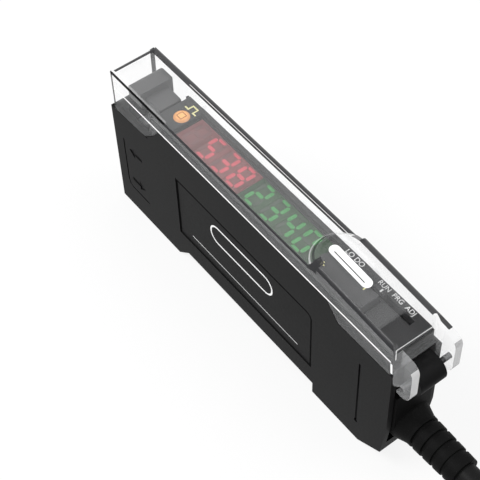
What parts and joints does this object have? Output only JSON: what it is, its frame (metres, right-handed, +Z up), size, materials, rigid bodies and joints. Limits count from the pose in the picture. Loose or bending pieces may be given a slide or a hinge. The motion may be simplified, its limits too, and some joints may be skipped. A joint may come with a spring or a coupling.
{
  "type": "fibre optic sensor amplifier",
  "caption": "Slim rail-mounted amplifier for plastic optical fibres, with twin digit displays, rocker and slide switches, a hinged clear lid and a cable tied in a hank.",
  "frame": {"origin": "under the middle of the amplifier's length, in its middle plane, level with the feet; the cable is left out", "axes": "+X from the fibre face to the cable end, +Z up through the lid, +Y to the side away from the printed side"},
  "size_m": [0.1753, 0.0428, 0.0354],
  "materials": {
    "housing": "fine spark-eroded black",
    "panel": "satin black",
    "smoked_window": "smoked, polished",
    "amber_lens": "translucent amber",
    "display_face": "dark face with lit segments",
    "circuit_board": "green solder mask",
    "switch_body": "moulded",
    "button": "satin dark grey",
    "pin_steel": "ground",
    "plate_steel": "stamped",
    "optics_holder": "matte black",
    "optic_lens": "clear epoxy",
    "bush": "moulded",
    "lever": "satin dark grey",
    "clear_lid": "clear, polished",
    "clip": "moulded",
    "boot_rubber": "matte",
    "cable_jacket": "satin jacket",
    "tie": "nylon strap"
  },
  "bodies": {
    "housing": {"near_shell": "housing", "far_shell": "housing", "top_panel": "panel", "display_window": "smoked_window", "output_lamp": "amber_lens", "red_display": "display_face", "green_display": "display_face", "display_board": "circuit_board", "main_board": "circuit_board", "push_switches": "switch_body", "slide_switches": "switch_body", "rocker_pin": "pin_steel", "optical_block": "optics_holder", "emitter": "optic_lens", "receiver": "optic_lens", "emitter_port": "bush", "receiver_port": "bush", "lever_pin": "pin_steel", "hinge_pin": "pin_steel", "cable_boot": "boot_rubber", "cable": "cable_jacket", "cable_coil": "cable_jacket", "cable_tie": "tie"},
    "lid": {"lid": "clear_lid"},
    "lever": {"clamp_lever": "lever"},
    "clamp": {"clamp_plate": "plate_steel"},
    "rocker": {"rocker_button": "button"},
    "output_knob": {"output_switch": "button"},
    "mode_knob": {"mode_switch": "button"},
    "clip": {"rail_clip": "clip"}
  },
  "joints": [
    {"name": "lid_hinge", "type": "hinge", "parent": "housing", "child": "lid", "pos_m": [0.0375, 0, 0.0261], "axis": [0, 1, 0], "range_deg": [0, 120]},
    {"name": "lever_swing", "type": "hinge", "parent": "housing", "child": "lever", "pos_m": [-0.0304, 0, 0.0215], "axis": [0, -1, 0], "range_deg": [0, 12]},
    {"name": "clamp_slide", "type": "slide", "parent": "housing", "child": "clamp", "axis": [0, 0, -1], "range_m": [0, 0.00058]},
    {"name": "rocker_tilt", "type": "hinge", "parent": "housing", "child": "rocker", "pos_m": [0.0199, -0.00105, 0.0294], "axis": [0, 1, 0], "range_deg": [-4, 4], "stiffness_Nm_per_rad": 0.02},
    {"name": "output_slide", "type": "slide", "parent": "housing", "child": "output_knob", "axis": [1, 0, 0], "range_m": [0, 0.0028]},
    {"name": "mode_slide", "type": "slide", "parent": "housing", "child": "mode_knob", "axis": [1, 0, 0], "range_m": [0, 0.0061]},
    {"name": "clip_slide", "type": "slide", "parent": "housing", "child": "clip", "axis": [1, 0, 0], "range_m": [0, 0.0012], "stiffness_N_per_m": 800}
  ],
  "couplings": [
    {"joint": "lever_swing", "follows": "clamp_slide", "rad_per_m": 360}
  ]
}
